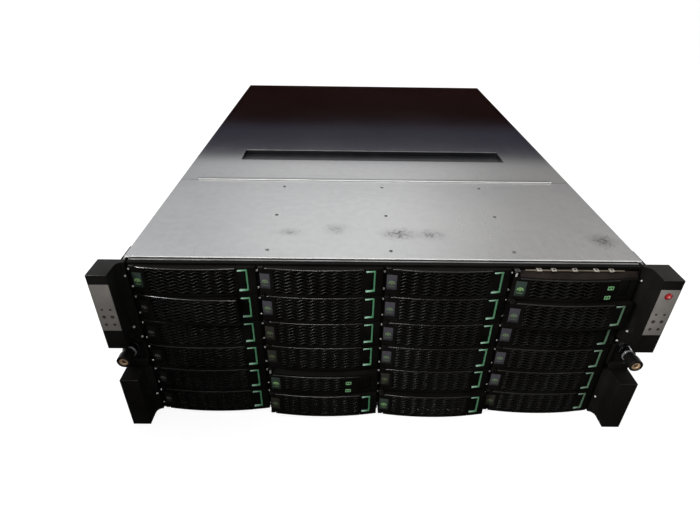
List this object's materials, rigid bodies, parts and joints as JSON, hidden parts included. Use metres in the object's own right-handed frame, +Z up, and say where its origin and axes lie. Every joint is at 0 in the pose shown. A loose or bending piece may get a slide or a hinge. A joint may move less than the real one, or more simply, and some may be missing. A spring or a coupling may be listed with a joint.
{
  "type": "hybrid storage array",
  "caption": "Rack storage array: black front of drive carriers with wavy grille handles and green release brackets, eared sides and a bare zinc-steel top.",
  "frame": {"origin": "under the middle of the whole object, on the surface it stands on", "axes": "+X to the right seen from the front, +Y from the front to the back, +Z up"},
  "size_m": [0.4826, 0.6834, 0.1772],
  "materials": {
    "zinc_steel": "bare zinc-coated sheet",
    "black_steel": "black powder coat",
    "black_plastic": "fine-grained black moulding",
    "handle_plastic": "satin black moulding",
    "carrier_metal": "black front on a drive in a folded tray",
    "red_plastic": "glossy red",
    "screw_brass": "turned brass in a black knob",
    "module_steel": "zinc-coated sheet"
  },
  "bodies": {
    "chassis": {"chassis_tray": "zinc_steel", "drive_cage": "black_steel", "front_cover": "zinc_steel", "rack_ears": "black_plastic"},
    "rear_cover": {"rear_cover": "zinc_steel"},
    "power_button": {"power_button": "red_plastic"},
    "thumbscrew_left": {"thumbscrew_left": "screw_brass"},
    "thumbscrew_right": {"thumbscrew_right": "screw_brass"},
    "controller_upper": {"controller_upper": "module_steel"},
    "controller_lower": {"controller_lower": "module_steel"},
    "psu_left": {"psu_left": "module_steel"},
    "psu_right": {"psu_right": "module_steel"},
    "carrier_c1_r1": {"carrier_c1_r1": "carrier_metal"},
    "handle_c1_r1": {"handle_c1_r1": "handle_plastic"},
    "carrier_c1_r2": {"carrier_c1_r2": "carrier_metal"},
    "handle_c1_r2": {"handle_c1_r2": "handle_plastic"},
    "carrier_c1_r3": {"carrier_c1_r3": "carrier_metal"},
    "handle_c1_r3": {"handle_c1_r3": "handle_plastic"},
    "carrier_c1_r4": {"carrier_c1_r4": "carrier_metal"},
    "handle_c1_r4": {"handle_c1_r4": "handle_plastic"},
    "carrier_c1_r5": {"carrier_c1_r5": "carrier_metal"},
    "handle_c1_r5": {"handle_c1_r5": "handle_plastic"},
    "carrier_c1_r6": {"carrier_c1_r6": "carrier_metal"},
    "handle_c1_r6": {"handle_c1_r6": "handle_plastic"},
    "carrier_c2_r1": {"carrier_c2_r1": "carrier_metal"},
    "handle_c2_r1": {"handle_c2_r1": "handle_plastic"},
    "carrier_c2_r2": {"carrier_c2_r2": "carrier_metal"},
    "handle_c2_r2": {"handle_c2_r2": "handle_plastic"},
    "carrier_c2_r3": {"carrier_c2_r3": "carrier_metal"},
    "handle_c2_r3": {"handle_c2_r3": "handle_plastic"},
    "carrier_c2_r4": {"carrier_c2_r4": "carrier_metal"},
    "handle_c2_r4": {"handle_c2_r4": "handle_plastic"},
    "carrier_c2_r5": {"carrier_c2_r5": "carrier_metal"},
    "handle_c2_r5": {"handle_c2_r5": "handle_plastic"},
    "carrier_c2_r6": {"carrier_c2_r6": "carrier_metal"},
    "handle_c2_r6": {"handle_c2_r6": "handle_plastic"},
    "carrier_c3_r1": {"carrier_c3_r1": "carrier_metal"},
    "handle_c3_r1": {"handle_c3_r1": "handle_plastic"},
    "carrier_c3_r2": {"carrier_c3_r2": "carrier_metal"},
    "handle_c3_r2": {"handle_c3_r2": "handle_plastic"},
    "carrier_c3_r3": {"carrier_c3_r3": "carrier_metal"},
    "handle_c3_r3": {"handle_c3_r3": "handle_plastic"},
    "carrier_c3_r4": {"carrier_c3_r4": "carrier_metal"},
    "handle_c3_r4": {"handle_c3_r4": "handle_plastic"},
    "carrier_c3_r5": {"carrier_c3_r5": "carrier_metal"},
    "handle_c3_r5": {"handle_c3_r5": "handle_plastic"},
    "carrier_c3_r6": {"carrier_c3_r6": "carrier_metal"},
    "handle_c3_r6": {"handle_c3_r6": "handle_plastic"},
    "carrier_c4_r1": {"carrier_c4_r1": "carrier_metal"},
    "handle_c4_r1": {"handle_c4_r1": "handle_plastic"},
    "carrier_c4_r2": {"carrier_c4_r2": "carrier_metal"},
    "handle_c4_r2": {"handle_c4_r2": "handle_plastic"},
    "carrier_c4_r3": {"carrier_c4_r3": "carrier_metal"},
    "handle_c4_r3": {"handle_c4_r3": "handle_plastic"},
    "carrier_c4_r4": {"carrier_c4_r4": "carrier_metal"},
    "handle_c4_r4": {"handle_c4_r4": "handle_plastic"},
    "carrier_c4_r5": {"carrier_c4_r5": "carrier_metal"},
    "handle_c4_r5": {"handle_c4_r5": "handle_plastic"},
    "carrier_c4_r6": {"carrier_c4_r6": "carrier_metal"},
    "handle_c4_r6": {"handle_c4_r6": "handle_plastic"}
  },
  "joints": [
    {"name": "cover_slide", "type": "slide", "parent": "chassis", "child": "rear_cover", "axis": [0, 1, 0], "range_m": [0, 0.48]},
    {"name": "controller_upper_slide", "type": "slide", "parent": "chassis", "child": "controller_upper", "axis": [0, 1, 0], "range_m": [0, 0.47]},
    {"name": "controller_lower_slide", "type": "slide", "parent": "chassis", "child": "controller_lower", "axis": [0, 1, 0], "range_m": [0, 0.47]},
    {"name": "psu_left_slide", "type": "slide", "parent": "chassis", "child": "psu_left", "axis": [0, 1, 0], "range_m": [0, 0.35]},
    {"name": "psu_right_slide", "type": "slide", "parent": "chassis", "child": "psu_right", "axis": [0, 1, 0], "range_m": [0, 0.35]},
    {"name": "thumbscrew_left_turn", "type": "hinge", "parent": "chassis", "child": "thumbscrew_left", "pos_m": [-0.2325, -0.3133, 0.082], "axis": [0, 1, 0], "continuous": true},
    {"name": "thumbscrew_right_turn", "type": "hinge", "parent": "chassis", "child": "thumbscrew_right", "pos_m": [0.2325, -0.3133, 0.082], "axis": [0, 1, 0], "continuous": true},
    {"name": "power_button_press", "type": "slide", "parent": "chassis", "child": "power_button", "axis": [0, 1, 0], "range_m": [0, 0.0012], "stiffness_N_per_m": 600},
    {"name": "slide_c1_r1", "type": "slide", "parent": "chassis", "child": "carrier_c1_r1", "axis": [0, -1, 0], "range_m": [0, 0.2]},
    {"name": "swing_c1_r1", "type": "hinge", "parent": "carrier_c1_r1", "child": "handle_c1_r1", "pos_m": [-0.2126, -0.319, 0.15975], "axis": [0, 0, -1], "range_deg": [0, 70]},
    {"name": "slide_c1_r2", "type": "slide", "parent": "chassis", "child": "carrier_c1_r2", "axis": [0, -1, 0], "range_m": [0, 0.2]},
    {"name": "swing_c1_r2", "type": "hinge", "parent": "carrier_c1_r2", "child": "handle_c1_r2", "pos_m": [-0.2126, -0.319, 0.13105], "axis": [0, 0, -1], "range_deg": [-4, 66]},
    {"name": "slide_c1_r3", "type": "slide", "parent": "chassis", "child": "carrier_c1_r3", "axis": [0, -1, 0], "range_m": [0, 0.2]},
    {"name": "swing_c1_r3", "type": "hinge", "parent": "carrier_c1_r3", "child": "handle_c1_r3", "pos_m": [-0.2126, -0.319, 0.10235], "axis": [0, 0, -1], "range_deg": [0, 70]},
    {"name": "slide_c1_r4", "type": "slide", "parent": "chassis", "child": "carrier_c1_r4", "axis": [0, -1, 0], "range_m": [0, 0.2]},
    {"name": "swing_c1_r4", "type": "hinge", "parent": "carrier_c1_r4", "child": "handle_c1_r4", "pos_m": [-0.2126, -0.319, 0.07365], "axis": [0, 0, -1], "range_deg": [0, 70]},
    {"name": "slide_c1_r5", "type": "slide", "parent": "chassis", "child": "carrier_c1_r5", "axis": [0, -1, 0], "range_m": [0, 0.2]},
    {"name": "swing_c1_r5", "type": "hinge", "parent": "carrier_c1_r5", "child": "handle_c1_r5", "pos_m": [-0.2126, -0.319, 0.04495], "axis": [0, 0, -1], "range_deg": [0, 70]},
    {"name": "slide_c1_r6", "type": "slide", "parent": "chassis", "child": "carrier_c1_r6", "axis": [0, -1, 0], "range_m": [0, 0.2]},
    {"name": "swing_c1_r6", "type": "hinge", "parent": "carrier_c1_r6", "child": "handle_c1_r6", "pos_m": [-0.2126, -0.319, 0.01625], "axis": [0, 0, -1], "range_deg": [0, 70]},
    {"name": "slide_c2_r1", "type": "slide", "parent": "chassis", "child": "carrier_c2_r1", "axis": [0, -1, 0], "range_m": [0, 0.2]},
    {"name": "swing_c2_r1", "type": "hinge", "parent": "carrier_c2_r1", "child": "handle_c2_r1", "pos_m": [-0.1046, -0.319, 0.15975], "axis": [0, 0, -1], "range_deg": [0, 70]},
    {"name": "slide_c2_r2", "type": "slide", "parent": "chassis", "child": "carrier_c2_r2", "axis": [0, -1, 0], "range_m": [0, 0.2]},
    {"name": "swing_c2_r2", "type": "hinge", "parent": "carrier_c2_r2", "child": "handle_c2_r2", "pos_m": [-0.1046, -0.319, 0.13105], "axis": [0, 0, -1], "range_deg": [0, 70]},
    {"name": "slide_c2_r3", "type": "slide", "parent": "chassis", "child": "carrier_c2_r3", "axis": [0, -1, 0], "range_m": [0, 0.2]},
    {"name": "swing_c2_r3", "type": "hinge", "parent": "carrier_c2_r3", "child": "handle_c2_r3", "pos_m": [-0.1046, -0.319, 0.10235], "axis": [0, 0, -1], "range_deg": [0, 70]},
    {"name": "slide_c2_r4", "type": "slide", "parent": "chassis", "child": "carrier_c2_r4", "axis": [0, -1, 0], "range_m": [0, 0.2]},
    {"name": "swing_c2_r4", "type": "hinge", "parent": "carrier_c2_r4", "child": "handle_c2_r4", "pos_m": [-0.1046, -0.319, 0.07365], "axis": [0, 0, -1], "range_deg": [0, 70]},
    {"name": "slide_c2_r5", "type": "slide", "parent": "chassis", "child": "carrier_c2_r5", "axis": [0, -1, 0], "range_m": [-0.0028, 0.1972]},
    {"name": "swing_c2_r5", "type": "hinge", "parent": "carrier_c2_r5", "child": "handle_c2_r5", "pos_m": [-0.1046, -0.3218, 0.04495], "axis": [0, 0, -1], "range_deg": [0, 70]},
    {"name": "slide_c2_r6", "type": "slide", "parent": "chassis", "child": "carrier_c2_r6", "axis": [0, -1, 0], "range_m": [-0.006, 0.194]},
    {"name": "swing_c2_r6", "type": "hinge", "parent": "carrier_c2_r6", "child": "handle_c2_r6", "pos_m": [-0.1046, -0.325, 0.01625], "axis": [0, 0, -1], "range_deg": [0, 70]},
    {"name": "slide_c3_r1", "type": "slide", "parent": "chassis", "child": "carrier_c3_r1", "axis": [0, -1, 0], "range_m": [0, 0.2]},
    {"name": "swing_c3_r1", "type": "hinge", "parent": "carrier_c3_r1", "child": "handle_c3_r1", "pos_m": [0.0034, -0.319, 0.15975], "axis": [0, 0, -1], "range_deg": [0, 70]},
    {"name": "slide_c3_r2", "type": "slide", "parent": "chassis", "child": "carrier_c3_r2", "axis": [0, -1, 0], "range_m": [0, 0.2]},
    {"name": "swing_c3_r2", "type": "hinge", "parent": "carrier_c3_r2", "child": "handle_c3_r2", "pos_m": [0.0034, -0.319, 0.13105], "axis": [0, 0, -1], "range_deg": [0, 70]},
    {"name": "slide_c3_r3", "type": "slide", "parent": "chassis", "child": "carrier_c3_r3", "axis": [0, -1, 0], "range_m": [0, 0.2]},
    {"name": "swing_c3_r3", "type": "hinge", "parent": "carrier_c3_r3", "child": "handle_c3_r3", "pos_m": [0.0034, -0.319, 0.10235], "axis": [0, 0, -1], "range_deg": [0, 70]},
    {"name": "slide_c3_r4", "type": "slide", "parent": "chassis", "child": "carrier_c3_r4", "axis": [0, -1, 0], "range_m": [0, 0.2]},
    {"name": "swing_c3_r4", "type": "hinge", "parent": "carrier_c3_r4", "child": "handle_c3_r4", "pos_m": [0.0034, -0.319, 0.07365], "axis": [0, 0, -1], "range_deg": [0, 70]},
    {"name": "slide_c3_r5", "type": "slide", "parent": "chassis", "child": "carrier_c3_r5", "axis": [0, -1, 0], "range_m": [0, 0.2]},
    {"name": "swing_c3_r5", "type": "hinge", "parent": "carrier_c3_r5", "child": "handle_c3_r5", "pos_m": [0.0034, -0.319, 0.04495], "axis": [0, 0, -1], "range_deg": [0, 70]},
    {"name": "slide_c3_r6", "type": "slide", "parent": "chassis", "child": "carrier_c3_r6", "axis": [0, -1, 0], "range_m": [-0.006, 0.194]},
    {"name": "swing_c3_r6", "type": "hinge", "parent": "carrier_c3_r6", "child": "handle_c3_r6", "pos_m": [0.0034, -0.325, 0.01625], "axis": [0, 0, -1], "range_deg": [0, 70]},
    {"name": "slide_c4_r1", "type": "slide", "parent": "chassis", "child": "carrier_c4_r1", "axis": [0, -1, 0], "range_m": [-0.0028, 0.1972]},
    {"name": "swing_c4_r1", "type": "hinge", "parent": "carrier_c4_r1", "child": "handle_c4_r1", "pos_m": [0.1114, -0.3218, 0.15975], "axis": [0, 0, -1], "range_deg": [0, 70]},
    {"name": "slide_c4_r2", "type": "slide", "parent": "chassis", "child": "carrier_c4_r2", "axis": [0, -1, 0], "range_m": [-0.0075, 0.1925]},
    {"name": "swing_c4_r2", "type": "hinge", "parent": "carrier_c4_r2", "child": "handle_c4_r2", "pos_m": [0.1114, -0.3265, 0.13105], "axis": [0, 0, -1], "range_deg": [0, 70]},
    {"name": "slide_c4_r3", "type": "slide", "parent": "chassis", "child": "carrier_c4_r3", "axis": [0, -1, 0], "range_m": [0, 0.2]},
    {"name": "swing_c4_r3", "type": "hinge", "parent": "carrier_c4_r3", "child": "handle_c4_r3", "pos_m": [0.1114, -0.319, 0.10235], "axis": [0, 0, -1], "range_deg": [0, 70]},
    {"name": "slide_c4_r4", "type": "slide", "parent": "chassis", "child": "carrier_c4_r4", "axis": [0, -1, 0], "range_m": [0, 0.2]},
    {"name": "swing_c4_r4", "type": "hinge", "parent": "carrier_c4_r4", "child": "handle_c4_r4", "pos_m": [0.1114, -0.319, 0.07365], "axis": [0, 0, -1], "range_deg": [0, 70]},
    {"name": "slide_c4_r5", "type": "slide", "parent": "chassis", "child": "carrier_c4_r5", "axis": [0, -1, 0], "range_m": [0, 0.2]},
    {"name": "swing_c4_r5", "type": "hinge", "parent": "carrier_c4_r5", "child": "handle_c4_r5", "pos_m": [0.1114, -0.319, 0.04495], "axis": [0, 0, -1], "range_deg": [0, 70]},
    {"name": "slide_c4_r6", "type": "slide", "parent": "chassis", "child": "carrier_c4_r6", "axis": [0, -1, 0], "range_m": [0, 0.2]},
    {"name": "swing_c4_r6", "type": "hinge", "parent": "carrier_c4_r6", "child": "handle_c4_r6", "pos_m": [0.1114, -0.319, 0.01625], "axis": [0, 0, -1], "range_deg": [0, 70]}
  ]
}
